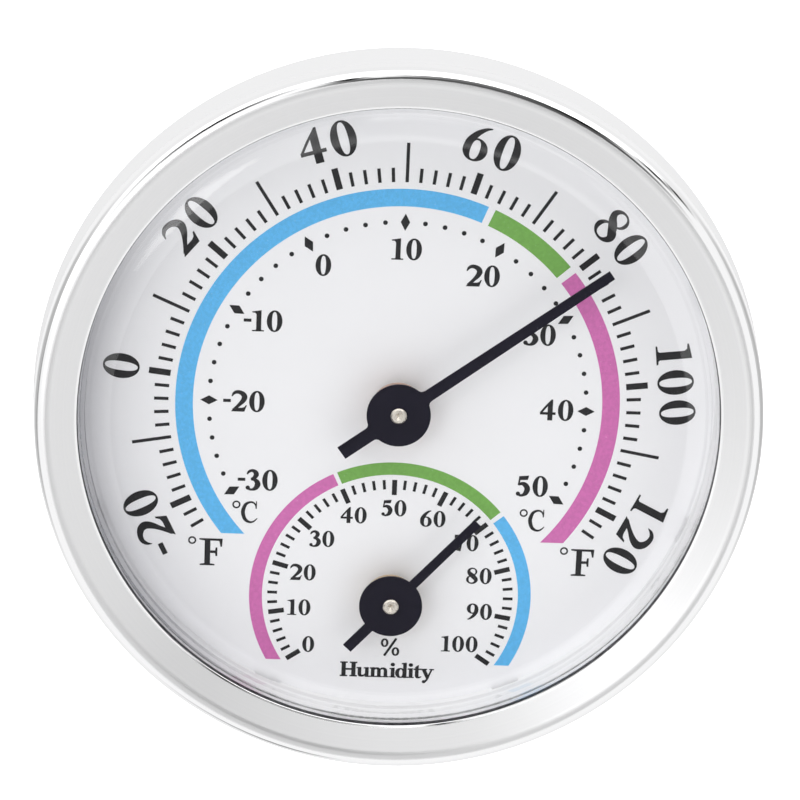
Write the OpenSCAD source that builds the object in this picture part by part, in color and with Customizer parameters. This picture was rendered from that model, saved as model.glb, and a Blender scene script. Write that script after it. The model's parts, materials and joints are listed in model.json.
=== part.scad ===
// Round wall thermo-hygrometer: a thermometer scale with a humidity dial inside it.
// Each movement is a fixed stem, a spiral sensing coil and a pointer that turns on the stem.
// Frame: the wall is the plane y = 0, the dial faces -Y, +Z is up, and the origin is where
// the hanging screw rests in the keyhole slot.

/* [Case] */
// Outside diameter of the bezel where it meets the back case
case_d = 100; // [90:1:120]
// Overall depth from the wall to the front of the bezel
case_depth = 20; // [19:0.5:24]
// Height of the hanging point above the centre of the dial
hang_above = 30; // [26:0.5:31]
// Wall thickness of the back case
case_wall = 1.8; // [1.4:0.1:2.2]

/* [Bezel] */
// Radius of the opening in the bezel
opening_r = 43.4; // [40:0.1:44]
// Height of the bezel's inner edge in front of the dial
lip_top = 9.2; // [8.8:0.1:10]
// Height of the bezel's crest in front of the dial
crest_top = 11.35; // [10.8:0.05:12]
// Radius of the bezel's rounded outer corner
corner_r = 1.7; // [1:0.1:2.2]

/* [Lens] */
// Thickness of the lens
lens_t = 1.1; // [1:0.1:1.3]
// Radius at which the flat of the lens turns into its rounded shoulder
shoulder_start = 38.8; // [34:0.1:39]
// Outer radius of curvature of the shoulder
shoulder_r = 8; // [6:0.5:8]

/* [Dial] */
// Thickness of the dial plate
plate_t = 0.8; // [0.5:0.1:1]
// Thickness of the printed film on the plate
film_t = 0.15; // [0.1:0.05:0.2]
// Distance of the humidity dial's centre below the main centre
hygro_drop = 27.86; // [26:0.1:29]

/* [Thermometer] */
// Length of the pointer from its axis to its tip
thermo_tip = 34.8; // [30:0.1:36]
// Length of the pointer's tail
thermo_tail = 9.45; // [7:0.05:12]
// Angle of the pointer at rest, clockwise from straight up
thermo_rest = 53.6; // [-120:0.1:120]
// Front face of the pointer in front of the dial
thermo_front = 4.7; // [4.2:0.1:5]

/* [Hygrometer] */
// Length of the pointer from its axis to its tip
hygro_tip = 17; // [14:0.1:17.5]
// Length of the pointer's tail
hygro_tail = 8.65; // [6:0.05:9]
// Angle of the pointer at rest, clockwise from straight up
hygro_rest = 42.6; // [-120:0.1:120]
// Front face of the pointer in front of the dial
hygro_front = 4; // [3.8:0.1:4.2]

/* [Movement] */
// Radius of the disc in the middle of each pointer
disc_r = 4.38; // [4.3:0.02:4.8]
// Thickness of the pointer sheet
sheet_t = 0.3; // [0.2:0.05:0.3]
// Outer radius of each sensing coil
coil_r = 3.95; // [3.6:0.05:3.95]
// Number of turns in each sensing coil
coil_turns = 5; // [3:1:5]
// Thickness of the coil's strip
strip_t = 0.2; // [0.15:0.05:0.2]

/* [Hidden] */
$fn = 128;

case_r = case_d / 2;
dial_y = case_depth - crest_top;
back = -dial_y;
eps = 0.01;

// Bezel: the wall leans in towards the front, and the face slopes down to the opening
skirt_end = 0.6;
skirt_in_r = case_r - 1.8;
front_r = case_r - 0.8;
corner_x = front_r - corner_r;
corner_y = crest_top - corner_r;
lip_under = 7.6;
lip_fillet = 0.3;
face_dx = corner_x - opening_r;
face_dy = corner_y - lip_top;
face_slope = atan2(face_dy, face_dx) + asin(corner_r / norm([face_dx, face_dy]));

// Screws and the bosses they hold
screw_count = 4;
screw_first = 45;
screw_ring = 46.45;
boss_r = 1.75;
boss_clear = 0.2;
boss_end = 0.3;
boss_hole_end = 6;
screw_r = 0.8;
screw_len = 6.4;
screw_head_r = 1.65;
screw_head_t = 1.1;
head_recess_r = 1.85;
head_recess = 1.1;
screw_clear_r = 1.1;

// Stack under the bezel's lip
seat_r = 44.45;
gasket_t = 0.5;
flange_t = 1.2;
flange_top = lip_under - gasket_t;
flange_under = flange_top - flange_t;
flange_r = 45.9;
lens_edge_r = 43.1;
lens_top = 9.4;
shoulder_end = 33;
spacer_in_r = 43.7;
plate_r = 45.6;
plate_under = -film_t - plate_t;
breather_count = 8;
breather_w = 4;
breather_h = 0.6;

// Back case
flange_back = -2.6;
rim_top = 0.2;
rim_in_r = 45.8;
lip_r = skirt_in_r - 0.1;
lip_t = 0.9;
lip_h = 1.8;
edge_r = case_r - 0.3;
edge_top = skirt_end - 0.05;
edge_bottom = -0.4;
edge_back_r = 48.7;
channel_t = 0.6;
cup_r = 43.6;
cup_back_r = 42.4;
cup_round = 1.5;
floor_in = back + case_wall;
key_head_r = 4;
key_slot_w = 4.6;
key_drop = 6.5;
vent_h = 2;
vent_pitch = 5;
vent_in = 11;
vent_circle = 35;
access_r = 2.2;
post_r = 1.4;
post_x = 6.5;
post_y = 14;

// Movement, as heights in front of the dial
bush_r = 2;
bush_flange_r = 3;
bush_flange_t = 0.45;
bush_swage_r = 2.45;
bush_swage_t = 0.5;
stem_r = 1.2;
bush_clear = 0.05;
shoulder_gap = 0.03;
stem_shoulder_r = 1.7;
stem_shoulder_t = 0.35;
arbor_r = 1.3;
arbor_gap = 0.3;
pivot_r = 0.8;
pivot_clear = 0.05;
head_r = 1.1;
head_gap = 0.05;
stem_end = -5.4;
driver_slot_w = 0.5;
driver_slot_t = 0.6;
coil_back = 0.95;
coil_w = 2;
coil_steps = 28;
anchor_slot = strip_t + 0.06;
washer_in_r = 1.35;
washer_out_r = 2.9;
washer_t = 0.2;
washer_rise = 0.3;
adjuster_r = 3;
adjuster_t = 1.5;
adjuster_slots = 12;
collet_r = 1.9;
collet_neck_r = 1.08;
collet_t = 0.35;
tab_gap = 0.04;
tab_w = 1;
tab_back = 1.4;

// The dial's own frame: x to the right, y up, z out of the dial
module at_dial() {
    translate([0, -dial_y, -hang_above]) rotate([90, 0, 0]) children();
}

module at_hygro() {
    at_dial() translate([0, -hygro_drop, 0]) children();
}

// A ring or disc between two radii and two heights
module ring(r_out, r_in, z0, z1) {
    translate([0, 0, z0]) difference() {
        cylinder(r = r_out, h = z1 - z0);
        if (r_in > 0) translate([0, 0, -1]) cylinder(r = r_in, h = z1 - z0 + 2);
    }
}

module at_screws() {
    for (i = [0 : screw_count - 1])
        rotate([0, 0, screw_first + i * 360 / screw_count]) translate([screw_ring, 0, 0]) children();
}

// Air passes under the plate's rim and the spacer at these places, clear of the screws
module at_breathers() {
    for (i = [0 : breather_count - 1]) rotate([0, 0, (i + 0.5) * 360 / breather_count]) children();
}

function arc(cx, cy, r, a0, a1, steps) =
    [for (i = [0 : steps]) let (a = a0 + (a1 - a0) * i / steps) [cx + r * cos(a), cy + r * sin(a)]];

// ---- case ----

module bezel() {
    profile = concat(
        [[skirt_in_r, skirt_end], [case_r, skirt_end]],
        arc(corner_x, corner_y, corner_r, 4, 90 + face_slope, 14),
        arc(opening_r + lip_fillet, lip_top - lip_fillet * 0.6, lip_fillet, 90 + face_slope, 180, 4),
        [[opening_r, lip_under], [skirt_in_r, lip_under]]);
    color("gainsboro") at_dial() difference() {
        union() {
            rotate_extrude() polygon(profile);
            intersection() {
                at_screws() ring(boss_r, 0, boss_end, lip_under + eps);
                cylinder(r = case_r - 1, h = crest_top);
            }
        }
        at_screws() translate([0, 0, boss_end - 1]) cylinder(r = screw_r, h = boss_hole_end - boss_end + 1);
    }
}

module lens() {
    inner_r = shoulder_r - lens_t;
    shoulder_y = lens_top - shoulder_r;
    shoulder_in = [shoulder_start + inner_r * sin(shoulder_end), shoulder_y + inner_r * cos(shoulder_end)];
    outer = concat([[0, lens_top]],
                   arc(shoulder_start, shoulder_y, shoulder_r, 90, 90 - shoulder_end, 24));
    inner = concat(arc(shoulder_start, shoulder_y, inner_r, 90 - shoulder_end, 90, 24),
                   [[0, lens_top - lens_t]]);
    profile = concat(outer, [[lens_edge_r, flange_top], [flange_r, flange_top],
                             [flange_r, flange_under], [shoulder_in[0], flange_under]], inner);
    color("white", 0.3) at_dial() difference() {
        rotate_extrude() polygon(profile);
        at_screws() translate([0, 0, flange_under - 1])
            cylinder(r = boss_r + boss_clear, h = flange_t + 2);
    }
}

module lens_gasket() {
    color("white") at_dial() ring(seat_r, opening_r + 0.1, flange_top, lip_under);
}

module spacer_ring() {
    color("white") at_dial() difference() {
        ring(seat_r, spacer_in_r, 0, flange_under);
        at_breathers() translate([spacer_in_r - 1, -breather_w / 2, -1])
            cube([3, breather_w, breather_h + 1]);
    }
}

module dial_outline(z0, z1) {
    difference() {
        ring(plate_r, bush_r, z0, z1);
        translate([0, -hygro_drop, z0 - 1]) cylinder(r = bush_r, h = z1 - z0 + 2);
        at_screws() translate([0, 0, z0 - 1]) cylinder(r = boss_r + boss_clear, h = z1 - z0 + 2);
    }
}

module dial_face() {
    color("white") at_dial() dial_outline(-film_t, 0);
}

module dial_plate() {
    color("silver") at_dial() dial_outline(plate_under, -film_t);
}

module vent(length) {
    translate([-length / 2, 0, 0]) cylinder(r = vent_h / 2, h = case_wall + 2, $fn = 32);
    translate([length / 2, 0, 0]) cylinder(r = vent_h / 2, h = case_wall + 2, $fn = 32);
    translate([-length / 2, -vent_h / 2, 0]) cube([length, vent_h, case_wall + 2]);
}

module back_case() {
    profile = concat(
        [[0, back], [cup_back_r - cup_round, back]],
        arc(cup_back_r - cup_round, back + cup_round, cup_round, -90, 0, 6),
        [[cup_r, flange_back], [edge_back_r, flange_back], [edge_r, edge_bottom],
         [edge_r, edge_top], [lip_r, edge_top], [lip_r, lip_h], [lip_r - lip_t, lip_h],
         [lip_r - lip_t, rim_top], [rim_in_r, rim_top], [rim_in_r, plate_under],
         [cup_r - case_wall, plate_under], [cup_back_r - case_wall, floor_in], [0, floor_in]]);
    color("whitesmoke") at_dial() difference() {
        union() {
            rotate_extrude() polygon(profile);
            for (x = [-post_x, post_x], y = [-post_y, post_y])
                translate([x, y, floor_in - eps]) cylinder(r = post_r, h = plate_under - floor_in + eps);
        }
        at_screws() {
            translate([0, 0, flange_back - 1]) cylinder(r = head_recess_r, h = head_recess + 1);
            translate([0, 0, flange_back - 1]) cylinder(r = screw_clear_r, h = 5);
            translate([0, 0, rim_top]) cylinder(r = boss_r + boss_clear, h = lip_h);
        }
        at_breathers() translate([cup_r - case_wall - 1, -breather_w / 2, plate_under - channel_t])
            cube([rim_in_r - cup_r + case_wall + 1, breather_w, channel_t + 0.5]);
        keyhole();
        for (y = [-20 : vent_pitch : 20], side = [-1, 1]) {
            reach = sqrt(vent_circle * vent_circle - y * y);
            translate([side * (vent_in + reach) / 2, y, back - 1]) vent(reach - vent_in);
        }
        for (y = [0, -hygro_drop]) translate([0, y, back - 1]) cylinder(r = access_r, h = case_wall + 2);
    }
}

module keyhole() {
    translate([0, hang_above - key_drop, back - 1]) {
        cylinder(r = key_head_r, h = case_wall + 2);
        translate([-key_slot_w / 2, 0, 0]) cube([key_slot_w, key_drop, case_wall + 2]);
    }
    translate([0, hang_above, back - 1]) cylinder(r = key_slot_w / 2, h = case_wall + 2);
}

module case_screws() {
    seat = flange_back + head_recess;
    color("silver") at_dial() at_screws() difference() {
        union() {
            translate([0, 0, seat - screw_head_t]) cylinder(r = screw_head_r, h = screw_head_t);
            translate([0, 0, seat - eps]) cylinder(r = screw_r, h = screw_len);
        }
        for (a = [0, 90]) rotate([0, 0, a])
            translate([-0.9, -0.2, seat - screw_head_t - 1]) cube([1.8, 0.4, 1.6]);
    }
}

// ---- movements: both are built alike, around their own axis ----

module bush() {
    difference() {
        union() {
            ring(bush_flange_r, 0, 0, bush_flange_t);
            ring(bush_r, 0, plate_under - bush_swage_t, bush_flange_t);
            ring(bush_swage_r, 0, plate_under - bush_swage_t, plate_under);
        }
        translate([0, 0, -5]) cylinder(r = stem_r + bush_clear, h = 10);
    }
}

module stem(front) {
    shoulder = bush_flange_t + shoulder_gap;
    arbor_top = front - sheet_t - collet_t - arbor_gap;
    difference() {
        union() {
            ring(stem_r, 0, stem_end, shoulder + stem_shoulder_t);
            ring(stem_shoulder_r, 0, shoulder, shoulder + stem_shoulder_t);
            ring(arbor_r, 0, shoulder, arbor_top);
            ring(pivot_r, 0, shoulder, front + head_gap + eps);
            stem_head(front + head_gap);
        }
        translate([-driver_slot_w / 2, -3, stem_end - 1]) cube([driver_slot_w, 6, driver_slot_t + 1]);
        rotate([0, 0, coil_start()]) translate([0.35, -anchor_slot / 2, shoulder + stem_shoulder_t])
            cube([arbor_r, anchor_slot, arbor_top - shoulder - stem_shoulder_t + eps]);
    }
}

// The spun-over end of the stem that keeps the pointer on, with a punched dimple
module stem_head(z) {
    translate([0, 0, z]) rotate_extrude()
        polygon([[0, 0], [head_r, 0], [head_r, 0.25], [head_r - 0.2, 0.45], [0.55, 0.5], [0, 0.1]]);
}

module spring_washer() {
    top = plate_under - bush_swage_t - 0.02;
    rim = top - washer_rise;
    rotate_extrude() polygon([[washer_in_r, top - washer_t], [washer_in_r, top],
                              [washer_out_r, rim], [washer_out_r, rim - washer_t]]);
}

module adjuster() {
    top = plate_under - bush_swage_t - 0.02 - washer_rise - washer_t;
    difference() {
        ring(adjuster_r, stem_r, top - adjuster_t, top);
        for (i = [0 : adjuster_slots - 1]) rotate([0, 0, i * 360 / adjuster_slots])
            translate([adjuster_r - 0.35, -0.2, top - adjuster_t - 1]) cube([1, 0.4, adjuster_t + 2]);
    }
}

// The coil is an Archimedean spiral from the stem's slot out to the pointer's tab
function coil_start() = 0;
function coil_mid_r(t) = arbor_r + 0.35 + (coil_r - strip_t / 2 - arbor_r - 0.35) * t;
function coil_side(offset, turns) =
    let (n = coil_steps * turns)
    [for (i = [0 : n]) let (t = i / n, a = coil_start() + 360 * turns * t, r = coil_mid_r(t) + offset)
        [r * cos(a), r * sin(a)]];

module coil(front) {
    outer = coil_side(strip_t / 2, coil_turns);
    inner = coil_side(-strip_t / 2, coil_turns);
    translate([0, 0, coil_back]) linear_extrude(coil_w + front - hygro_front) union() {
        polygon(concat(outer, [for (i = [len(inner) - 1 : -1 : 0]) inner[i]]));
        rotate(coil_start()) translate([0.5, -strip_t / 2])
            square([arbor_r + 0.35 - 0.5 + strip_t / 2, strip_t]);
    }
}

module collet(front) {
    neck_top = front;
    back_face = front - sheet_t - collet_t;
    difference() {
        union() {
            ring(collet_r, 0, back_face, front - sheet_t);
            ring(collet_neck_r, 0, back_face, neck_top);
        }
        translate([0, 0, back_face - 1]) cylinder(r = pivot_r + pivot_clear, h = 3);
    }
}

// Pointer sheet: tapered bar, disc, parallel tail, and the tab that holds the coil's outer end
module pointer(front, tip, tail, root_w, tip_w, tail_w, blend_r, rest) {
    rotate([0, 0, -rest]) {
        translate([0, 0, front - sheet_t]) difference() {
            linear_extrude(sheet_t) union() {
                circle(r = disc_r);
                polygon([[-root_w / 2, 0], [root_w / 2, 0], [tip_w / 2, tip], [-tip_w / 2, tip]]);
                translate([-tail_w / 2, -tail]) square([tail_w, tail]);
                if (blend_r > 0) for (side = [-1, 1]) {
                    blend(side, root_w, blend_r);
                    rotate(180) blend(side, tail_w, blend_r);
                }
            }
            translate([0, 0, -1]) cylinder(r = collet_neck_r, h = sheet_t + 2);
        }
    }
    translate([coil_r + tab_gap, -tab_w / 2, tab_back])
        cube([sheet_t, tab_w, front - sheet_t / 2 - tab_back]);
}

// Small fillet in the corner between the disc and a bar of width w
module blend(side, w, r) {
    cy = sqrt(pow(disc_r + r, 2) - pow(w / 2 + r, 2));
    touch = disc_r / (disc_r + r);
    difference() {
        polygon([[side * w * 0.4, cy], [side * (w / 2 + r), cy],
                 [side * (w / 2 + r) * touch, cy * touch], [side * w * 0.4, cy * touch]]);
        translate([side * (w / 2 + r), cy]) circle(r = r, $fn = 48);
    }
}

module thermo_bush() { color("goldenrod") at_dial() bush(); }
module thermo_stem() { color("tan") at_dial() stem(thermo_front); }
module thermo_spring_washer() { color("gray") at_dial() spring_washer(); }
module thermo_adjuster() { color("goldenrod") at_dial() adjuster(); }
module thermo_coil() { color("peru") at_dial() coil(thermo_front); }
module thermo_collet() { color("goldenrod") at_dial() collet(thermo_front); }
module thermo_pointer() {
    color("black") at_dial() pointer(thermo_front, thermo_tip, thermo_tail, 1.7, 1.3, 1.92, 0.7, thermo_rest);
}
module hygro_bush() { color("goldenrod") at_hygro() bush(); }
module hygro_stem() { color("tan") at_hygro() stem(hygro_front); }
module hygro_spring_washer() { color("gray") at_hygro() spring_washer(); }
module hygro_adjuster() { color("goldenrod") at_hygro() adjuster(); }
module hygro_coil() { color("burlywood") at_hygro() coil(hygro_front); }
module hygro_collet() { color("goldenrod") at_hygro() collet(hygro_front); }
module hygro_pointer() {
    color("black") at_hygro() pointer(hygro_front, hygro_tip, hygro_tail, 1.34, 1.2, 1.46, 0, hygro_rest);
}

bezel();
lens();
lens_gasket();
spacer_ring();
dial_face();
dial_plate();
back_case();
case_screws();
thermo_bush();
thermo_stem();
thermo_spring_washer();
thermo_adjuster();
thermo_coil();
thermo_collet();
thermo_pointer();
hygro_bush();
hygro_stem();
hygro_spring_washer();
hygro_adjuster();
hygro_coil();
hygro_collet();
hygro_pointer();
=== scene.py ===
import bpy
import json
import math
from mathutils import Matrix, Vector
from mathutils.geometry import tessellate_polygon


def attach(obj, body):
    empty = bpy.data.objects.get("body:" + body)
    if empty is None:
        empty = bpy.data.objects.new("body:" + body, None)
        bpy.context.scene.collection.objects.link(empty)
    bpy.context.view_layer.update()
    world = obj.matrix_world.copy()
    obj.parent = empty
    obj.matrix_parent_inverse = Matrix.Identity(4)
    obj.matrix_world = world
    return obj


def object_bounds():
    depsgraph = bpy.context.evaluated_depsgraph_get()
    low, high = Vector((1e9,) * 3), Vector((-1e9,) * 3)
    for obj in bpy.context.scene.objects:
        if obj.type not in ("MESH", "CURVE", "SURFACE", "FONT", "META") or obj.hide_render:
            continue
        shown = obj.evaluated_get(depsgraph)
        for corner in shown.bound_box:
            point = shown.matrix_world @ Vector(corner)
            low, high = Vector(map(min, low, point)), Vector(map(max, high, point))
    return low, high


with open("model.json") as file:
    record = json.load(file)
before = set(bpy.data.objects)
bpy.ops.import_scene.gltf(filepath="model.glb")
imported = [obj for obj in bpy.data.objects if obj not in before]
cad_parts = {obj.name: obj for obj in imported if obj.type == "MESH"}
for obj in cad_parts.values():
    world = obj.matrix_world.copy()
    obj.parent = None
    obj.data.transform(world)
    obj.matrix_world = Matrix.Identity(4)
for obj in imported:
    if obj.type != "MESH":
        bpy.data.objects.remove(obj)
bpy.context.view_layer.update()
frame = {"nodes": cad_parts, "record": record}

MM = 0.001
JOINTS = {j["name"]: j for j in frame["record"]["behaviour"]["joints"]}
DIAL = Vector(JOINTS["thermo_turn"]["pos_m"])     # centre of the main dial, on its printed surface
HYGRO = Vector(JOINTS["hygro_turn"]["pos_m"])     # centre of the humidity dial
HYGRO_DROP = (DIAL.z - HYGRO.z) / MM
CASE = "case"


def polar(radius, degrees):
    """Point at a radius and an angle clockwise from straight up, in the dial's plane."""
    a = math.radians(degrees)
    return Vector((radius * math.sin(a), radius * math.cos(a)))


# ---------------------------------------------------------------- materials

def new_material(name):
    m = bpy.data.materials.new(name)
    m.use_nodes = True
    nodes, links = m.node_tree.nodes, m.node_tree.links
    return m, nodes, links, nodes["Principled BSDF"]


def node(nodes, kind, **values):
    n = nodes.new(kind)
    for k, v in values.items():
        if k in n.inputs:
            n.inputs[k].default_value = v
        else:
            setattr(n, k, v)
    return n


def math_node(nodes, links, operation, a, b=0.0, clamp=False):
    n = nodes.new("ShaderNodeMath")
    n.operation, n.use_clamp = operation, clamp
    for socket, value in zip(n.inputs, (a, b)):
        if isinstance(value, (int, float)):
            socket.default_value = value
        else:
            links.new(value, socket)
    return n.outputs[0]


def ramp(nodes, links, factor, *stops):
    """Colour ramp with (position, value or colour) stops."""
    n = nodes.new("ShaderNodeValToRGB")
    while len(n.color_ramp.elements) < len(stops):
        n.color_ramp.elements.new(1.0)
    for e, (pos, c) in zip(n.color_ramp.elements, stops):
        e.position = pos
        e.color = (c, c, c, 1) if isinstance(c, (int, float)) else (*c, 1)
    links.new(factor, n.inputs["Fac"])
    return n.outputs["Color"]


def noise(nodes, links, scale, detail=3.0, stretch=None):
    coord = nodes.new("ShaderNodeTexCoord").outputs["Object"]
    if stretch:
        m = node(nodes, "ShaderNodeMapping")
        m.inputs["Scale"].default_value = stretch
        links.new(coord, m.inputs["Vector"])
        coord = m.outputs["Vector"]
    n = node(nodes, "ShaderNodeTexNoise", Scale=scale, Detail=detail)
    links.new(coord, n.inputs["Vector"])
    return n.outputs["Fac"]


def bump(nodes, links, height, strength, distance, bsdf):
    b = node(nodes, "ShaderNodeBump", Strength=strength, Distance=distance)
    links.new(height, b.inputs["Height"])
    links.new(b.outputs["Normal"], bsdf.inputs["Normal"])


def dial_coordinates(nodes, links, centre=DIAL):
    """Radius and height in front of the dial, in millimetres, from the object's own coordinates."""
    coord = nodes.new("ShaderNodeTexCoord").outputs["Object"]
    sub = nodes.new("ShaderNodeVectorMath")
    sub.operation = "SUBTRACT"
    links.new(coord, sub.inputs[0])
    sub.inputs[1].default_value = centre
    sep = nodes.new("ShaderNodeSeparateXYZ")
    links.new(sub.outputs[0], sep.inputs[0])
    flat = nodes.new("ShaderNodeCombineXYZ")
    links.new(sep.outputs["X"], flat.inputs["X"])
    links.new(sep.outputs["Z"], flat.inputs["Z"])
    length = nodes.new("ShaderNodeVectorMath")
    length.operation = "LENGTH"
    links.new(flat.outputs[0], length.inputs[0])
    radius = math_node(nodes, links, "MULTIPLY", length.outputs["Value"], 1 / MM)
    height = math_node(nodes, links, "MULTIPLY", sep.outputs["Y"], -1 / MM)
    return radius, height


def smooth_step(nodes, links, value, lo, hi):
    n = node(nodes, "ShaderNodeMapRange", interpolation_type="SMOOTHSTEP")
    n.inputs["From Min"].default_value, n.inputs["From Max"].default_value = lo, hi
    links.new(value, n.inputs["Value"])
    return n.outputs["Result"]


def plastic(name, color, rough, grain=1800, depth=0.12, vary=0.03, shine=0.5):
    m, nodes, links, bsdf = new_material(name)
    bsdf.inputs["Specular IOR Level"].default_value = shine
    bsdf.inputs["IOR"].default_value = 1.5
    n = noise(nodes, links, grain)
    lo, hi = [tuple(max(0, c * k) for c in color) for k in (1 - vary, 1 + vary)]
    links.new(ramp(nodes, links, noise(nodes, links, 120), (0.3, lo), (0.7, hi)), bsdf.inputs["Base Color"])
    links.new(ramp(nodes, links, n, (0.3, rough * 0.9), (0.7, min(1, rough * 1.1))), bsdf.inputs["Roughness"])
    bump(nodes, links, n, depth, 0.00004, bsdf)
    return m


def metal(name, color, rough, vary=0.06, grain=900, depth=0.05, stretch=None):
    m, nodes, links, bsdf = new_material(name)
    bsdf.inputs["Metallic"].default_value = 1.0
    n = noise(nodes, links, grain, stretch=stretch)
    lo, hi = [tuple(min(1, c * k) for c in color) for k in (1 - vary, 1 + vary)]
    links.new(ramp(nodes, links, n, (0.3, lo), (0.7, hi)), bsdf.inputs["Base Color"])
    links.new(ramp(nodes, links, n, (0.3, rough * 0.8), (0.7, min(1, rough * 1.2))), bsdf.inputs["Roughness"])
    bump(nodes, links, n, depth, 0.00003, bsdf)
    return m


def bezel_metal():
    """Satin turned face, with the crest and the inner lip polished, and painted shade: a dark band on the
    opening's inner edge.
    """
    m, nodes, links, bsdf = new_material("satin_aluminium")
    bsdf.inputs["Metallic"].default_value = 1.0
    radius, height = dial_coordinates(nodes, links)
    outer = smooth_step(nodes, links, radius, *CREST_RADIUS)
    inner = math_node(nodes, links, "MULTIPLY", smooth_step(nodes, links, radius, *LIP_RADIUS),
                      smooth_step(nodes, links, radius, *LIP_END))
    front = smooth_step(nodes, links, height, *CREST_HEIGHT)
    polished = math_node(nodes, links, "MAXIMUM", math_node(nodes, links, "MULTIPLY", outer, front), inner)
    # turning marks: fine rings about the dial's axis
    rings = node(nodes, "ShaderNodeTexNoise", Scale=9.0, Detail=2.0)
    ring_coord = nodes.new("ShaderNodeCombineXYZ")
    links.new(radius, ring_coord.inputs["X"])
    links.new(height, ring_coord.inputs["Y"])
    links.new(ring_coord.outputs[0], rings.inputs["Vector"])
    grain = noise(nodes, links, 2600, detail=1.0)
    satin = ramp(nodes, links, grain, (0.3, BEZEL_SATIN - 0.01), (0.7, BEZEL_SATIN + 0.01))
    rough = nodes.new("ShaderNodeMix")
    links.new(polished, rough.inputs["Factor"])
    links.new(satin, rough.inputs["A"])
    rough.inputs["B"].default_value = BEZEL_POLISH
    links.new(rough.outputs["Result"], bsdf.inputs["Roughness"])
    tone = nodes.new("ShaderNodeMix")
    tone.data_type = "RGBA"
    wall = smooth_step(nodes, links, height, *WALL_HEIGHT)
    # painted shade: a dark band on the inner edge of the opening, just under the face, where the lip meets
    # the lens
    lip_painted_shade = math_node(nodes, links, "MULTIPLY", smooth_step(nodes, links, radius, *PAINTED_SHADE_RADIUS),
                    smooth_step(nodes, links, height, *PAINTED_SHADE_HEIGHT))
    bare = math_node(nodes, links, "MAXIMUM", polished, wall)
    links.new(math_node(nodes, links, "MAXIMUM", bare, lip_painted_shade), tone.inputs["Factor"])
    links.new(ramp(nodes, links, rings.outputs["Fac"], (0.3, BEZEL_COLOR[0]), (0.7, BEZEL_COLOR[1])),
              tone.inputs["A"])
    links.new(ramp(nodes, links, lip_painted_shade, (0.0, BEZEL_POLISHED_COLOR), (1.0, BEZEL_PAINTED_SHADE_COLOR)), tone.inputs["B"])
    links.new(tone.outputs["Result"], bsdf.inputs["Base Color"])
    strength = math_node(nodes, links, "MULTIPLY", math_node(nodes, links, "SUBTRACT", 1.0, polished),
                         BEZEL_BUMP)
    b = node(nodes, "ShaderNodeBump", Distance=0.00003)
    links.new(strength, b.inputs["Strength"])
    links.new(math_node(nodes, links, "ADD", rings.outputs["Fac"], grain), b.inputs["Height"])
    links.new(b.outputs["Normal"], bsdf.inputs["Normal"])
    return m


def lens_glass():
    """Clear thin lens: light goes straight through, and each surface mirrors as clear plastic does."""
    m, nodes, links, bsdf = new_material("clear_lens")
    nodes.remove(bsdf)
    clear = nodes.new("ShaderNodeBsdfTransparent")
    # painted shade: the tint darkens what is seen through the shoulder, most on the left
    shoulder = smooth_step(nodes, links, dial_coordinates(nodes, links)[0], *LENS_SHOULDER)
    from_left = dial_coordinates(nodes, links, DIAL + Vector(LENS_PAINTED_SHADE_FROM) * MM)[0]
    lens_painted_shade = math_node(nodes, links, "MULTIPLY", shoulder, smooth_step(nodes, links, from_left, *LENS_PAINTED_SHADE_REACH))
    tint = ramp(nodes, links, lens_painted_shade, (0.0, LENS_COLOR), (1.0, LENS_PAINTED_SHADE_COLOR))
    links.new(tint, clear.inputs["Color"])
    mirror = nodes.new("ShaderNodeBsdfAnisotropic")
    n = noise(nodes, links, 40, detail=1.0)
    links.new(ramp(nodes, links, n, (0.0, 0.03), (1.0, 0.045)), mirror.inputs["Roughness"])
    path = nodes.new("ShaderNodeLightPath")
    lighting = math_node(nodes, links, "MAXIMUM", path.outputs["Is Shadow Ray"],
                         path.outputs["Is Diffuse Ray"])
    shown = math_node(nodes, links, "SUBTRACT", 1.0, lighting)
    fresnel = node(nodes, "ShaderNodeFresnel", IOR=LENS_INDEX)
    share = math_node(nodes, links, "MULTIPLY", fresnel.outputs["Fac"], shown)
    mix = nodes.new("ShaderNodeMixShader")
    links.new(math_node(nodes, links, "MINIMUM", share, LENS_MOST_MIRRORED), mix.inputs["Fac"])
    links.new(clear.outputs["BSDF"], mix.inputs[1])
    links.new(mirror.outputs["BSDF"], mix.inputs[2])
    links.new(mix.outputs["Shader"], nodes["Material Output"].inputs["Surface"])
    return m


def printed(name, color, speck=0.0, grain=0.06):
    """Printed colour with the fine grain of the ink, and tiny light specks where it is thin."""
    m, nodes, links, bsdf = new_material(name)
    bsdf.inputs["Roughness"].default_value = 0.5
    lo, hi = [tuple(max(0, min(1, c * k)) for c in color) for k in (1 - grain, 1 + grain)]
    tone = ramp(nodes, links, noise(nodes, links, 2500, detail=2.0), (0.35, lo), (0.65, hi))
    if speck:
        dots = ramp(nodes, links, noise(nodes, links, 5200, detail=1.0), (0.72, 0.0), (0.78, 1.0))
        mix = nodes.new("ShaderNodeMix")
        mix.data_type = "RGBA"
        links.new(math_node(nodes, links, "MULTIPLY", dots, speck), mix.inputs["Factor"])
        links.new(tone, mix.inputs["A"])
        mix.inputs["B"].default_value = (0.9, 0.9, 0.92, 1)
        tone = mix.outputs["Result"]
    links.new(tone, bsdf.inputs["Base Color"])
    return m


def linear(r, g, b):
    """An 8-bit screen colour as linear light."""
    return tuple((c / 255 / 12.92) if c <= 10 else (((c / 255) + 0.055) / 1.055) ** 2.4 for c in (r, g, b))


# Roughness and colour of the bezel's satin and polished surfaces, and the colour of the painted shade on the
# opening's inner edge
BEZEL_SATIN, BEZEL_POLISH = 0.40, 0.05
BEZEL_COLOR = ((0.75, 0.75, 0.755), (0.77, 0.77, 0.775))
BEZEL_POLISHED_COLOR, BEZEL_PAINTED_SHADE_COLOR = (0.88, 0.88, 0.885), (0.03, 0.03, 0.035)
BEZEL_BUMP = 0.015
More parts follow.
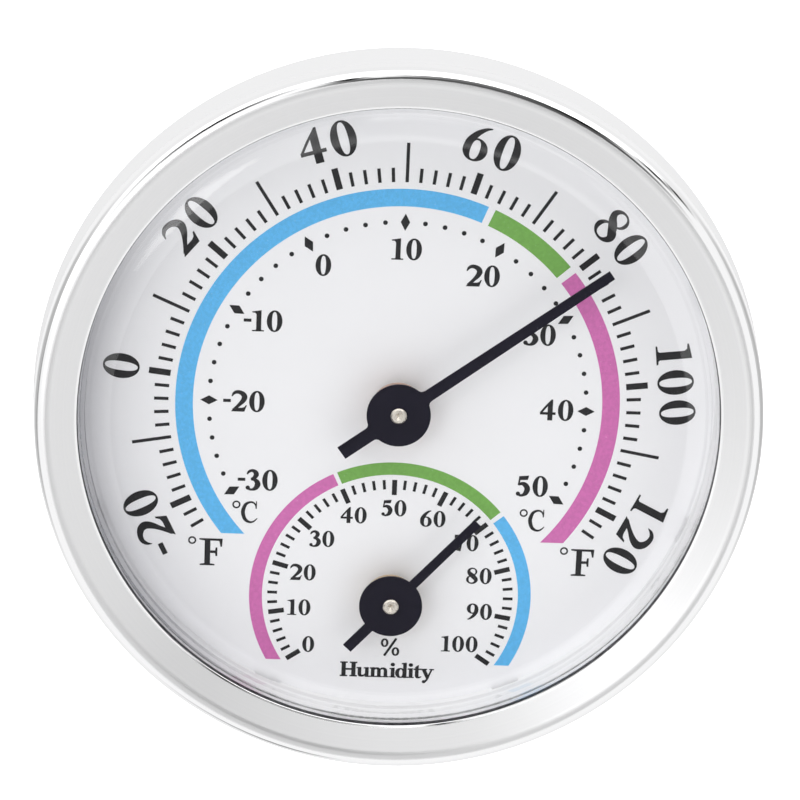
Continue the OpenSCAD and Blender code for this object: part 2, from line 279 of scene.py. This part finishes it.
# Where each zone of the bezel begins and where it is full: radius or height in front of the dial, in mm
CREST_RADIUS, CREST_HEIGHT, WALL_HEIGHT = (47.66, 47.8), (7.6, 8.2), (9.2, 7.8)
LIP_RADIUS, LIP_END = (43.9, 43.6), (43.42, 43.52)
# the painted shade on the opening's inner edge: where it begins and where it is full
PAINTED_SHADE_RADIUS, PAINTED_SHADE_HEIGHT = (43.52, 43.43), (8.2, 8.4)

LENS_INDEX, LENS_MOST_MIRRORED = 1.49, 0.15
# the lens's clear tint, then the tint of its painted shade
LENS_COLOR, LENS_PAINTED_SHADE_COLOR = (0.998, 0.999, 0.999), (0.78, 0.78, 0.79)
# The shoulder's radii, then the point beside the dial that the painted shade spreads from and its reach, in
# mm
LENS_SHOULDER, LENS_PAINTED_SHADE_FROM, LENS_PAINTED_SHADE_REACH = (37.5, 43.5), (-70.0, 0.0, -18.0), (66.0, 34.0)

MATERIALS = {
    "bezel": bezel_metal(),
    "lens": lens_glass(),
    "lens_gasket": plastic("white_silicone", (0.8, 0.8, 0.8), 0.6),
    "spacer_ring": plastic("white_plastic", (0.88, 0.88, 0.89), 0.45, vary=0.01),
    "dial_face": plastic("dial_film", (0.955, 0.953, 0.975), 0.4, grain=3000, depth=0.04, vary=0.006),
    "dial_plate": metal("sheet_aluminium", (0.8, 0.8, 0.81), 0.35, stretch=(1, 1, 0.05)),
    "back_case": plastic("case_plastic", (0.84, 0.84, 0.84), 0.5, grain=1500, depth=0.25, vary=0.01),
    "case_screws": metal("plated_steel", (0.7, 0.7, 0.72), 0.3),
}
BRASS = metal("brass", (0.8, 0.62, 0.32), 0.3)
STEM = metal("plated_brass", (0.74, 0.69, 0.62), 0.25)
SPRING = metal("spring_steel", (0.6, 0.6, 0.62), 0.25)
POINTER = plastic("black_paint", linear(26, 24, 38), 0.42, grain=2200, depth=0.1, vary=0.1, shine=0.2)
COILS = {
    "thermo": metal("bimetal", (0.68, 0.47, 0.38), 0.35, stretch=(1, 0.1, 1)),
    "hygro": metal("humidity_strip", (0.70, 0.56, 0.40), 0.5, stretch=(1, 0.1, 1)),
}
for which, coil in COILS.items():
    for part, material in (("bush", BRASS), ("stem", STEM), ("spring_washer", SPRING), ("adjuster", BRASS),
                           ("coil", coil), ("collet", BRASS), ("pointer", POINTER)):
        MATERIALS[f"{which}_{part}"] = material

for name, material in MATERIALS.items():
    obj = frame["nodes"][name]
    for s in obj.material_slots:
        s.material = material

INK = printed("ink", linear(24, 23, 27), grain=0.1)
BLUE = printed("band_blue", linear(96, 188, 245), speck=0.5)
GREEN = printed("band_green", linear(120, 177, 84), speck=0.5)
PINK = printed("band_pink", linear(213, 114, 182), speck=0.5)


# ---------------------------------------------------------------- print on the dial

PRINT_SINK = 0.01      # how far printed pieces start below the film's surface, mm
BAND_H = 0.012
INK_H = 0.02


class Print:
    """Collects flat outlines on the dial and turns them into one thin solid piece."""

    def __init__(self):
        self.verts, self.faces, self.layer = [], [], 0

    def add(self, outline, height, holes=()):
        """A closed outline (x, z in mm about the main dial's centre), with holes, as a thin slab."""
        loops = [list(outline)] + [list(h) for h in holes]
        tris = tessellate_polygon([[Vector((p[0], p[1], 0)) for p in loop] for loop in loops])
        flat = [p for loop in loops for p in loop]
        base, n = len(self.verts), len(flat)
        for h in (height, -PRINT_SINK):
            self.verts += [DIAL + Vector((p[0], -h, p[1])) * MM for p in flat]
        for a, b, c in tris:
            pa, pb, pc = flat[a], flat[b], flat[c]
            area = (pb[0] - pa[0]) * (pc[1] - pa[1]) - (pb[1] - pa[1]) * (pc[0] - pa[0])
            if abs(area) < 1e-9:
                continue
            if area < 0:
                b, c = c, b
            self.faces += [(base + a, base + b, base + c), (base + n + a, base + n + c, base + n + b)]
        start = 0
        for k, loop in enumerate(loops):
            size = len(loop)
            area = sum(loop[i][0] * loop[(i + 1) % size][1] - loop[(i + 1) % size][0] * loop[i][1]
                       for i in range(size))
            for i in range(size):
                a, b = base + start + i, base + start + (i + 1) % size
                if (area > 0) == (k == 0):
                    a, b = b, a
                self.faces.append((a, b, b + n, a + n))
            start += size

    def finish(self, name, material):
        mesh = bpy.data.meshes.new(name)
        mesh.from_pydata([tuple(v) for v in self.verts], [], self.faces)
        mesh.validate()
        mesh.update()
        mesh.materials.append(material)
        obj = bpy.data.objects.new(name, mesh)
        bpy.context.scene.collection.objects.link(obj)
        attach(obj, CASE)
        return obj


def bar(centre, radius, angle, length, width):
    """Outline of a radial tick, from its middle radius."""
    out, side = polar(1, angle), polar(1, angle + 90)
    c = Vector(centre) + out * radius
    return [c + out * (length / 2 * i) + side * (width / 2 * j)
            for i, j in ((1, -1), (1, 1), (-1, 1), (-1, -1))]


def disc(centre, radius, segments=20):
    return [Vector(centre) + polar(radius, -i * 360 / segments) for i in range(segments)]


def band(centre, r_in, r_out, start, end, cut_z=None):
    """Outline of an arc from start to end, in clockwise degrees. An end of None stops at the height cut_z."""
    def limit(radius, side):
        return side * math.degrees(math.acos((cut_z - centre[1]) / radius))
    outline = []
    for radius, order in ((r_out, 1), (r_in, -1)):
        a0 = limit(radius, -1) if start is None else start
        a1 = limit(radius, 1) if end is None else end
        steps = max(8, int(abs(a1 - a0) / 1.5))
        arc = [Vector(centre) + polar(radius, a0 + (a1 - a0) * i / steps) for i in range(steps + 1)]
        outline += arc[::order]
    return outline


CENTRE = (0.0, 0.0)
SUB = (0.0, -HYGRO_DROP)

# Fahrenheit scale: one degree of temperature is 1.665 degrees of arc, 50 at the top
F_STEP, F_TOP = 1.665, 50
F_IN = 31.5
C_STEP, C_TOP, C_RADIUS = 2.997, 10, 25.95
H_STEP, H_TOP, H_OUT = 2.4814, 50, 17.17

fahrenheit = Print()
for t in range(-24, 126, 2):
    if t % 20 == 0:
        length, width = 2.98, 0.88
    elif t % 10 == 0:
        length, width = 5.43, 0.45
    else:
        length, width = 1.98, 0.45
    fahrenheit.add(bar(CENTRE, F_IN + length / 2, (t - F_TOP) * F_STEP, length, width), INK_H)
fahrenheit.finish("fahrenheit_ticks", INK)

celsius = Print()
for t in range(-30, 51, 2):
    p = polar(C_RADIUS, (t - C_TOP) * C_STEP)
    if t % 10:
        celsius.add(disc(p, 0.325), INK_H)
    else:
        out, side = p.normalized(), polar(1, (t - C_TOP) * C_STEP + 90)
        celsius.add([p + out * 1.2, p - side * 0.64, p - out * 1.2, p + side * 0.64], INK_H)
celsius.finish("celsius_marks", INK)

humidity = Print()
for h in range(0, 101, 2):
    length, width = (2.2, 0.69) if h % 10 == 0 else (1.37, 0.41)
    humidity.add(bar(SUB, H_OUT - length / 2, (h - H_TOP) * H_STEP, length, width), INK_H)
humidity.finish("humidity_ticks", INK)

for name, centre, r_in, r_out, start, end, cut_z, material in (
        ("comfort_band_blue", CENTRE, 28.15, 30.58, None, 21.5, -19.2, BLUE),
        ("comfort_band_green", CENTRE, 28.15, 30.58, 23.4, 48.0, None, GREEN),
        ("comfort_band_pink", CENTRE, 28.15, 30.58, 50.0, None, -19.2, PINK),
        ("humidity_band_pink", SUB, 17.9, 19.7, None, -25.7, -37.65, PINK),
        ("humidity_band_green", SUB, 17.9, 19.7, -24.0, 49.05, None, GREEN),
        ("humidity_band_blue", SUB, 17.9, 19.7, 51.1, None, -37.65, BLUE)):
    piece = Print()
    piece.add(band(centre, r_in, r_out, start, end, cut_z), BAND_H)
    piece.finish(name, material)


# ---------------------------------------------------------------- numerals

def smooth(points, steps=8):
    """Catmull-Rom curve through (x, y, width) points."""
    pts = [Vector(p) for p in points]
    ends = [2 * pts[0] - pts[1], *pts, 2 * pts[-1] - pts[-2]]
    out = []
    for i in range(len(pts) - 1):
        a, b, c, d = ends[i:i + 4]
        for k in range(steps):
            t = k / steps
            out.append(0.5 * (2 * b + (c - a) * t + (2 * a - 5 * b + 4 * c - d) * t * t
                              + (3 * b - a - 3 * c + d) * t * t * t))
    return out + [pts[-1]]


def pen(*points, heavier=0.0):
    """A stroke of changing width, as the outline round it."""
    line = smooth([(x, y, w + heavier) for x, y, w in points])
    left, right = [], []
    for i, p in enumerate(line):
        before, after = line[max(0, i - 1)], line[min(len(line) - 1, i + 1)]
        along = Vector((after.x - before.x, after.y - before.y)).normalized()
        side = Vector((-along.y, along.x)) * max(p.z, 0.004) / 2
        left.append(Vector((p.x, p.y)) + side)
        right.append(Vector((p.x, p.y)) - side)
    return (left + right[::-1],)


def oval(cx, cy, rx, ry, square=2.0, segments=40):
    """An ellipse, or with square above 2 a fuller form with straighter sides."""
    pts = []
    for i in range(segments):
        c, s = math.cos(2 * math.pi * i / segments), math.sin(2 * math.pi * i / segments)
        pts.append(Vector((cx + rx * math.copysign(abs(c) ** (2 / square), c),
                           cy + ry * math.copysign(abs(s) ** (2 / square), s))))
    return pts


def ring(cx, cy, rx, ry, ix, iy, dx=0.0, square=2.4):
    return (oval(cx, cy, rx, ry), oval(cx + dx, cy, ix, iy, square))


def shape(*points):
    return ([Vector(p) for p in points],)


def spot(cx, cy, r):
    return (oval(cx, cy, r, r, segments=20),)


def turned(parts, width, height=1.0):
    """The same outlines, turned half a turn about the middle of the glyph."""
    return [tuple([Vector((width - p.x, height - p.y)) for p in loop] for loop in part) for part in parts]


def make_glyphs(bold):
    """Each glyph's width, then its outlines. The digits' height is the unit; bold thickens thin strokes."""
    def stroke(*points):
        return pen(*points, heavier=bold)

    def bowl(cx, cy, rx, ry, ix, iy, dx=0.0):
        return ring(cx, cy, rx, ry, ix - bold * 0.4, iy - bold * 0.7, dx)

    six = [bowl(0.355, 0.315, 0.345, 0.325, 0.13, 0.27),
           stroke((0.64, 1.0, 0.03), (0.47, 0.925, 0.09), (0.29, 0.76, 0.16), (0.15, 0.53, 0.21),
                  (0.115, 0.33, 0.21))]
    return {
        "0": (0.71, [bowl(0.355, 0.5, 0.355, 0.51, 0.13, 0.455)]),
        "1": (0.58, [shape((0.43, 1.0), (0.01, 0.93), (0.01, 0.885), (0.15, 0.87), (0.205, 0.8), (0.205, 0.1),
                           (0.17, 0.06), (0.02, 0.045 + bold / 2), (0.02, 0.0), (0.56, 0.0),
                           (0.56, 0.045 + bold / 2), (0.465, 0.06), (0.43, 0.1))]),
        "2": (0.72, [stroke((0.03, 0.72, 0.02), (0.1, 0.85, 0.09), (0.23, 0.93, 0.13), (0.4, 0.915, 0.16),
                            (0.55, 0.82, 0.205), (0.605, 0.68, 0.225), (0.53, 0.51, 0.19), (0.37, 0.33, 0.13),
                            (0.2, 0.16, 0.11), (0.08, 0.06, 0.09)),
                     shape((0.0, 0.0), (0.61, 0.0), (0.72, 0.31), (0.67, 0.31), (0.6, 0.215), (0.5, 0.18),
                           (0.18, 0.18), (0.02, 0.03))]),
        "3": (0.66, [stroke((0.06, 0.77, 0.04), (0.14, 0.89, 0.09), (0.28, 0.95, 0.11), (0.42, 0.89, 0.17),
                            (0.48, 0.765, 0.21), (0.4, 0.62, 0.15), (0.24, 0.53, 0.06)),
                     stroke((0.24, 0.53, 0.06), (0.42, 0.5, 0.14), (0.535, 0.38, 0.21), (0.545, 0.25, 0.23),
                            (0.45, 0.1, 0.17), (0.3, 0.03, 0.08), (0.17, 0.05, 0.08), (0.1, 0.1, 0.1)),
                     spot(0.1, 0.12, 0.1)]),
        "4": (0.72, [shape((0.35, 0.0), (0.58, 0.0), (0.58, 1.0), (0.51, 1.0), (0.35, 0.78)),
                     shape((0.0, 0.27), (0.72, 0.27), (0.72, 0.375 + bold / 2), (0.0, 0.375 + bold / 2)),
                     stroke((0.02, 0.33, 0.07), (0.28, 0.67, 0.07), (0.545, 0.975, 0.06))]),
        "5": (0.66, [shape((0.15, 0.97), (0.58, 1.01), (0.53, 0.8), (0.165, 0.78)),
                     stroke((0.165, 0.97, 0.05), (0.135, 0.7, 0.05), (0.105, 0.53, 0.05)),
                     stroke((0.11, 0.55, 0.05), (0.26, 0.61, 0.13), (0.42, 0.55, 0.2), (0.52, 0.37, 0.23),
                            (0.46, 0.17, 0.2), (0.33, 0.06, 0.11), (0.2, 0.04, 0.08), (0.11, 0.1, 0.1)),
                     spot(0.1, 0.12, 0.1)]),
        "6": (0.7, six),
        "7": (0.66, [shape((0.04, 1.0), (0.66, 1.0), (0.66, 0.91), (0.6, 0.82), (0.14, 0.82), (0.08, 0.72),
                           (0.04, 0.72)),
                     stroke((0.61, 0.92, 0.1), (0.43, 0.55, 0.16), (0.28, 0.0, 0.25))]),
        "8": (0.7, [bowl(0.35, 0.76, 0.3, 0.25, 0.165, 0.19, dx=0.03),
                    bowl(0.35, 0.265, 0.35, 0.275, 0.18, 0.21, dx=-0.03),
                    stroke((0.13, 0.82, 0.13), (0.2, 0.65, 0.21), (0.4, 0.48, 0.25), (0.58, 0.28, 0.21))]),
        "9": (0.7, turned(six, 0.7)),
        "-": (0.35, [shape((0.0, 0.44), (0.35, 0.44), (0.35, 0.585), (0.0, 0.585))]),
        "C": (0.76, [pen((0.66, 0.73, 0.04), (0.59, 0.89, 0.07), (0.43, 0.955, 0.085), (0.22, 0.86, 0.13),
                         (0.11, 0.62, 0.165), (0.1, 0.42, 0.17), (0.19, 0.17, 0.15), (0.38, 0.045, 0.1),
                         (0.56, 0.075, 0.07), (0.72, 0.22, 0.04)),
                     shape((0.63, 0.66), (0.69, 0.66), (0.69, 1.0), (0.65, 1.0))]),
        "F": (0.81, [shape((0.19, 0.03), (0.39, 0.03), (0.39, 0.97), (0.19, 0.97)),
                     shape((0.03, 0.0), (0.55, 0.0), (0.55, 0.05), (0.42, 0.07), (0.16, 0.07), (0.03, 0.05)),
                     shape((0.0, 1.0), (0.0, 0.95), (0.14, 0.925), (0.7, 0.915), (0.75, 0.7), (0.8, 0.7),
                           (0.82, 1.0)),
                     shape((0.3, 0.46), (0.56, 0.46), (0.58, 0.35), (0.64, 0.35), (0.64, 0.67), (0.58, 0.67),
                           (0.56, 0.555), (0.3, 0.555))]),
        "%": (1.0, [ring(0.2, 0.74, 0.19, 0.245, 0.1, 0.165, square=2.0),
                    ring(0.8, 0.25, 0.19, 0.245, 0.1, 0.165, square=2.0),
                    pen((0.2, 0.0, 0.1), (0.82, 1.0, 0.1))]),
        "H": (1.06, [shape((0.1, 0.03), (0.33, 0.03), (0.33, 0.97), (0.1, 0.97)),
                     shape((0.73, 0.03), (0.96, 0.03), (0.96, 0.97), (0.73, 0.97)),
                     shape((0.25, 0.44), (0.8, 0.44), (0.8, 0.56), (0.25, 0.56))]
              + [shape((x, y), (x + 0.44, y), (x + 0.44, y + 0.09), (x, y + 0.09))
                 for x in (0.0, 0.62) for y in (0.0, 0.91)]),
        "u": (0.84, [shape((0.0, 0.64), (0.27, 0.66), (0.27, 0.2), (0.08, 0.16), (0.08, 0.56), (0.0, 0.56)),
                     pen((0.175, 0.25, 0.19), (0.2, 0.11, 0.18), (0.33, 0.06, 0.13), (0.48, 0.11, 0.09),
                         (0.58, 0.2, 0.07)),
                     shape((0.46, 0.64), (0.74, 0.66), (0.74, 0.08), (0.84, 0.08), (0.84, 0.0), (0.55, -0.02),
                           (0.55, 0.56), (0.46, 0.56))]),
        "m": (1.26, [shape((0.0, 0.64), (0.28, 0.67), (0.28, 0.0), (0.09, 0.0), (0.09, 0.56), (0.0, 0.56)),
                     pen((0.25, 0.5, 0.06), (0.36, 0.59, 0.1), (0.48, 0.595, 0.13), (0.565, 0.5, 0.17),
                         (0.58, 0.3, 0.19), (0.58, 0.0, 0.19)),
                     pen((0.64, 0.5, 0.06), (0.75, 0.59, 0.1), (0.88, 0.595, 0.13), (0.985, 0.5, 0.17),
                         (1.0, 0.3, 0.19), (1.0, 0.0, 0.19))]
              + [shape((x, 0.0), (x + 0.36, 0.0), (x + 0.36, 0.08), (x, 0.08)) for x in (0.01, 0.41, 0.83)]),
        "i": (0.38, [shape((0.01, 0.64), (0.3, 0.67), (0.3, 0.0), (0.1, 0.0), (0.1, 0.56), (0.01, 0.56)),
                     shape((0.01, 0.0), (0.38, 0.0), (0.38, 0.08), (0.01, 0.08)), spot(0.19, 0.88, 0.12)]),
        "d": (0.78, [ring(0.31, 0.32, 0.31, 0.34, 0.13, 0.255, dx=0.03),
                     shape((0.4, 1.0), (0.69, 1.03), (0.69, 0.09), (0.79, 0.08), (0.79, 0.0), (0.5, -0.02),
                           (0.5, 0.92), (0.4, 0.92))]),
        "t": (0.5, [shape((0.11, 0.12), (0.3, 0.12), (0.3, 0.9), (0.11, 0.74)),
                    shape((0.0, 0.56), (0.47, 0.56), (0.47, 0.65), (0.0, 0.65)),
                    pen((0.205, 0.2, 0.19), (0.24, 0.08, 0.17), (0.34, 0.045, 0.1), (0.49, 0.11, 0.05))]),
        "y": (0.78, [pen((0.13, 0.62, 0.2), (0.27, 0.32, 0.2), (0.41, 0.0, 0.17)),
                     pen((0.66, 0.62, 0.07), (0.5, 0.26, 0.08), (0.36, -0.08, 0.1), (0.22, -0.24, 0.11)),
                     shape((0.0, 0.57), (0.34, 0.57), (0.34, 0.65), (0.0, 0.65)),
                     shape((0.52, 0.57), (0.79, 0.57), (0.79, 0.65), (0.52, 0.65)), spot(0.17, -0.23, 0.1)]),
    }


LARGE, SMALL, HEAVY = make_glyphs(0.0), make_glyphs(0.03), make_glyphs(0.06)


def letter(target, text, centre, height, tracking, turn=0.0, glyphs=LARGE, hang=0.05, lift=0.0):
    """Writes text centred on a point of the dial, turned clockwise by turn degrees.

    A minus sign hangs outside the centred digits. lift thickens the ink, for a second pass over the first.
    """
    digits = text.lstrip("-")
    widths = [glyphs[c][0] for c in digits]
    x = -(sum(widths) + tracking * (len(digits) - 1)) / 2
    placed = [("-", x - hang - glyphs["-"][0])] if digits != text else []
    for c, w in zip(digits, widths):
        placed.append((c, x))
        x += w + tracking
    right, up = polar(1, turn + 90), polar(1, turn)
    for c, x in placed:
        for k, part in enumerate(glyphs[c][1]):
            loops = [[Vector(centre) + (right * (x + p.x) + up * (p.y - 0.5)) * height for p in loop]
                     for loop in part]
            target.add(loops[0], INK_H + lift + 0.0015 * k, loops[1:])


F_NUMERAL_RADIUS = 38.3
numerals = Print()
# temperature, and how far its number sits clockwise of its tick and outward of the ring of numbers, mm
for t, along, out in ((-20, -0.13, -0.16), (0, 0.03, 0.0), (20, 0.22, -0.18), (40, 0.05, -0.12),
                      (60, 0.32, -0.04), (80, -0.03, 0.14), (100, 0.23, 0.03), (120, 0.96, -0.11)):
    a = (t - F_TOP) * F_STEP
    letter(numerals, str(t), polar(F_NUMERAL_RADIUS + out, a) + polar(along, a + 90), 4.95, 0.165, a)
numerals.finish("fahrenheit_numerals", INK)

numerals = Print()
for t, x, z in ((-30, -18.4, -11.3), (-20, -20.6, 0.0), (-10, -18.3, 11.5), (0, -10.9, 19.6), (10, 0.3, 22.2),
                (20, 10.85, 18.8), (30, 19.0, 10.75), (40, 21.9, 0.1), (50, 19.05, -11.0)):
    letter(numerals, str(t), (x, z), 3.0, 0.1, glyphs=SMALL, hang=0.02)
numerals.finish("celsius_numerals", INK)

numerals = Print()
for h, x, z in ((0, -11.2, -35.25), (10, -12.7, -29.8), (20, -12.3, -24.6), (30, -9.8, -19.6),
                (40, -5.5, -16.0), (50, 0.05, -14.8), (60, 5.5, -16.2), (70, 10.3, -19.6),
                (80, 12.3, -24.4), (90, 12.6, -29.7), (100, 10.0, -34.6)):
    letter(numerals, str(h), (x, z), 2.35, 0.1, glyphs=SMALL)
numerals.finish("humidity_numerals", INK)

HEAVY_SHIFT, HEAVY_LIFT = 0.045, 0.008      # the heaviest words are printed twice, side by side, mm
units = Print()
for x in (-21.8, 18.1):
    units.add(disc((x, -14.95), 0.57, 28), INK_H, [disc((x, -14.95), 0.35, 28)])
    letter(units, "C", (x + 1.85, -16.0), 3.2, 0.0)
for x in (-27.8, 24.0):
    units.add(disc((x, -20.35), 0.57, 28), INK_H, [disc((x, -20.35), 0.34, 28)])
    letter(units, "F", (x + 2.6, -22.0), 3.95, 0.0)
for shift, lift in ((-HEAVY_SHIFT, 0.0), (HEAVY_SHIFT, HEAVY_LIFT)):
    letter(units, "%", (0.3 + shift, -35.35), 2.6, 0.0, glyphs=HEAVY, lift=lift)
    letter(units, "Humidity", (shift, -38.8), 2.2, 0.0, glyphs=HEAVY, lift=lift)
units.finish("unit_letters", INK)


# ---------------------------------------------------------------- studio

def make_floor():
    """Plain white floor, well below the object."""
    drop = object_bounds()[0].z - FLOOR_DROP
    mesh = bpy.data.meshes.new("floor")
    s = FLOOR_HALF_SIZE
    mesh.from_pydata([(-s, -s, drop), (s, -s, drop), (s, s, drop), (-s, s, drop)], [], [(0, 1, 2, 3)])
    m, nodes, links, bsdf = new_material("floor_white")
    bsdf.inputs["Base Color"].default_value = (0.8, 0.8, 0.8, 1)
    bsdf.inputs["Roughness"].default_value = 0.9
    bsdf.inputs["Emission Color"].default_value = (1, 1, 1, 1)
    bsdf.inputs["Emission Strength"].default_value = FLOOR_GLOW
    mesh.materials.append(m)
    obj = bpy.data.objects.new("floor", mesh)
    bpy.context.scene.collection.objects.link(obj)
    # the room's own light stands in for what the floor sends up
    obj.visible_glossy = obj.visible_diffuse = obj.visible_transmission = False


def direction(azimuth, elevation):
    """Unit vector to a place round the dial: azimuth 0 is straight in front, 90 to the right."""
    a, e = math.radians(azimuth), math.radians(elevation)
    return Vector((math.sin(a) * math.cos(e), -math.cos(a) * math.cos(e), math.sin(e)))


def make_world():
    """A white light tent open towards the camera.

    In front is the room, dimmer than the tent and brighter on the left, with the photographer's dark shape a
    little right of the middle. The tent's edge is a dark arc. The flat of the lens mirrors a dark patch of
    the room to the camera.
    """
    world = bpy.data.worlds.new("studio")
    bpy.context.scene.world = world
    world.use_nodes = True
    nodes, links = world.node_tree.nodes, world.node_tree.links
    background = nodes["Background"]
    coord = nodes.new("ShaderNodeTexCoord").outputs["Generated"]

    def calc(operation, a, b):
        return math_node(nodes, links, operation, a, b)

    def mix(factor, a, b):
        return calc("ADD", calc("MULTIPLY", factor, calc("SUBTRACT", b, a)), a)

    def within(azimuth, elevation, inner, outer):
        """1 within the inner angle from a direction, fading to 0 at the outer angle."""
        dot = nodes.new("ShaderNodeVectorMath")
        dot.operation = "DOT_PRODUCT"
        links.new(coord, dot.inputs[0])
        dot.inputs[1].default_value = direction(azimuth, elevation)
        return smooth_step(nodes, links, dot.outputs["Value"], math.cos(math.radians(outer)),
                           math.cos(math.radians(inner)))

    room = mix(within(*TENT_SIDES), within(*TENT_EDGE_LEFT), within(*TENT_EDGE_RIGHT))
    edge = calc("MULTIPLY", calc("MULTIPLY", room, calc("SUBTRACT", 1.0, room)), 4 * TENT_EDGE_DEPTH)
    bright = calc("ADD", calc("MULTIPLY", within(*ROOM_WINDOW), ROOM_WINDOW_LEVEL), ROOM_LEVEL)
    front = calc("MULTIPLY", mix(room, TENT_LEVEL, bright), calc("SUBTRACT", 1.0, edge))
    level = mix(within(*FRONT_HALF), BACK_LEVEL, front)
    for share, dark in ((1.0, MIRRORED_DARK), (PHOTOGRAPHER_DEPTH, PHOTOGRAPHER),
                        (SIDE_DEPTH, SIDE_LEFT), (SIDE_DEPTH, SIDE_RIGHT)):
        level = calc("MULTIPLY", level, calc("SUBTRACT", 1.0, calc("MULTIPLY", within(*dark), share)))
    # the backdrop itself is plain white
    backdrop = nodes.new("ShaderNodeLightPath").outputs["Is Camera Ray"]
    links.new(mix(backdrop, level, 1.0), background.inputs["Strength"])
    background.inputs["Color"].default_value = (1, 1, 1, 1)


def area_light(name, place, target, width, height, power):
    data = bpy.data.lights.new(name, "AREA")
    data.shape, data.size, data.size_y, data.energy = "RECTANGLE", width, height, power
    obj = bpy.data.objects.new(name, data)
    bpy.context.scene.collection.objects.link(obj)
    obj.location = place
    obj.rotation_mode = "QUATERNION"
    obj.rotation_quaternion = (Vector(target) - Vector(place)).to_track_quat("-Z", "Y")
    return obj


def make_camera():
    """Camera at the photograph's angle, a little above the dial and rolled slightly."""
    forward = -VIEW_FROM
    right = forward.cross(Vector((0, 0, 1))).normalized()
    up = right.cross(forward)
    roll = math.radians(VIEW_ROLL)
    x_axis = right * math.cos(roll) + up * math.sin(roll)
    y_axis = -right * math.sin(roll) + up * math.cos(roll)
    data = bpy.data.cameras.new("camera")
    data.lens, data.sensor_width = VIEW_LENS, 36.0
    data.clip_start, data.clip_end = 0.02, 50.0
    cam = bpy.data.objects.new("camera", data)
    bpy.context.scene.collection.objects.link(cam)
    place = DIAL + VIEW_TARGET + VIEW_FROM * VIEW_DISTANCE
    cam.matrix_world = Matrix((
        (x_axis.x, y_axis.x, VIEW_FROM.x, place.x),
        (x_axis.y, y_axis.y, VIEW_FROM.y, place.y),
        (x_axis.z, y_axis.z, VIEW_FROM.z, place.z),
        (0, 0, 0, 1)))
    bpy.context.scene.camera = cam


VIEW_FROM, VIEW_ROLL = direction(-2.126, 16.435), 2.381
VIEW_TARGET = Vector((0.258, 0.0, 0.859)) * MM
VIEW_DISTANCE = 461.58 * MM
VIEW_LENS = 151.14
# Light of the tent and of the room in front, and how much the tent's edge takes away
TENT_LEVEL, BACK_LEVEL, ROOM_LEVEL, TENT_EDGE_DEPTH = 1.9, 0.97, 1.05, 1.0
ROOM_WINDOW_LEVEL, PHOTOGRAPHER_DEPTH, SIDE_DEPTH = 0.15, 0.9, 0.45
# Parts of the surroundings: azimuth, elevation, and the angles from there where each begins to fade and ends
ROOM_WINDOW = (-38.0, 14.0, 22.0, 36.0)
PHOTOGRAPHER = (13.0, 21.0, 14.0, 25.0)
MIRRORED_DARK = (2.1, -16.4, 6.0, 9.5)
SIDE_LEFT, SIDE_RIGHT = (-104.0, -5.0, 8.0, 36.0), (104.0, -5.0, 8.0, 36.0)
FRONT_HALF = (0.0, 0.0, 80.0, 96.0)
TENT_EDGE_LEFT = (-12.0, -20.0, 57.0, 72.0)
TENT_EDGE_RIGHT = (0.0, -90.0, 112.0, 125.0)
TENT_SIDES = (90.0, 0.0, 92.0, 102.0)
FLOOR_GLOW, FLOOR_DROP, FLOOR_HALF_SIZE = 1.0, 0.12, 6.0
SOFTBOX_FROM = direction(-28.0, 12.0)
SOFTBOX_DISTANCE, SOFTBOX_SIZE, SOFTBOX_POWER = 1.3, 0.40, 1.1

make_floor()
make_world()
area_light("softbox", DIAL + SOFTBOX_FROM * SOFTBOX_DISTANCE, DIAL, SOFTBOX_SIZE, SOFTBOX_SIZE, SOFTBOX_POWER)
make_camera()
bpy.context.scene.view_settings.view_transform = "Standard"
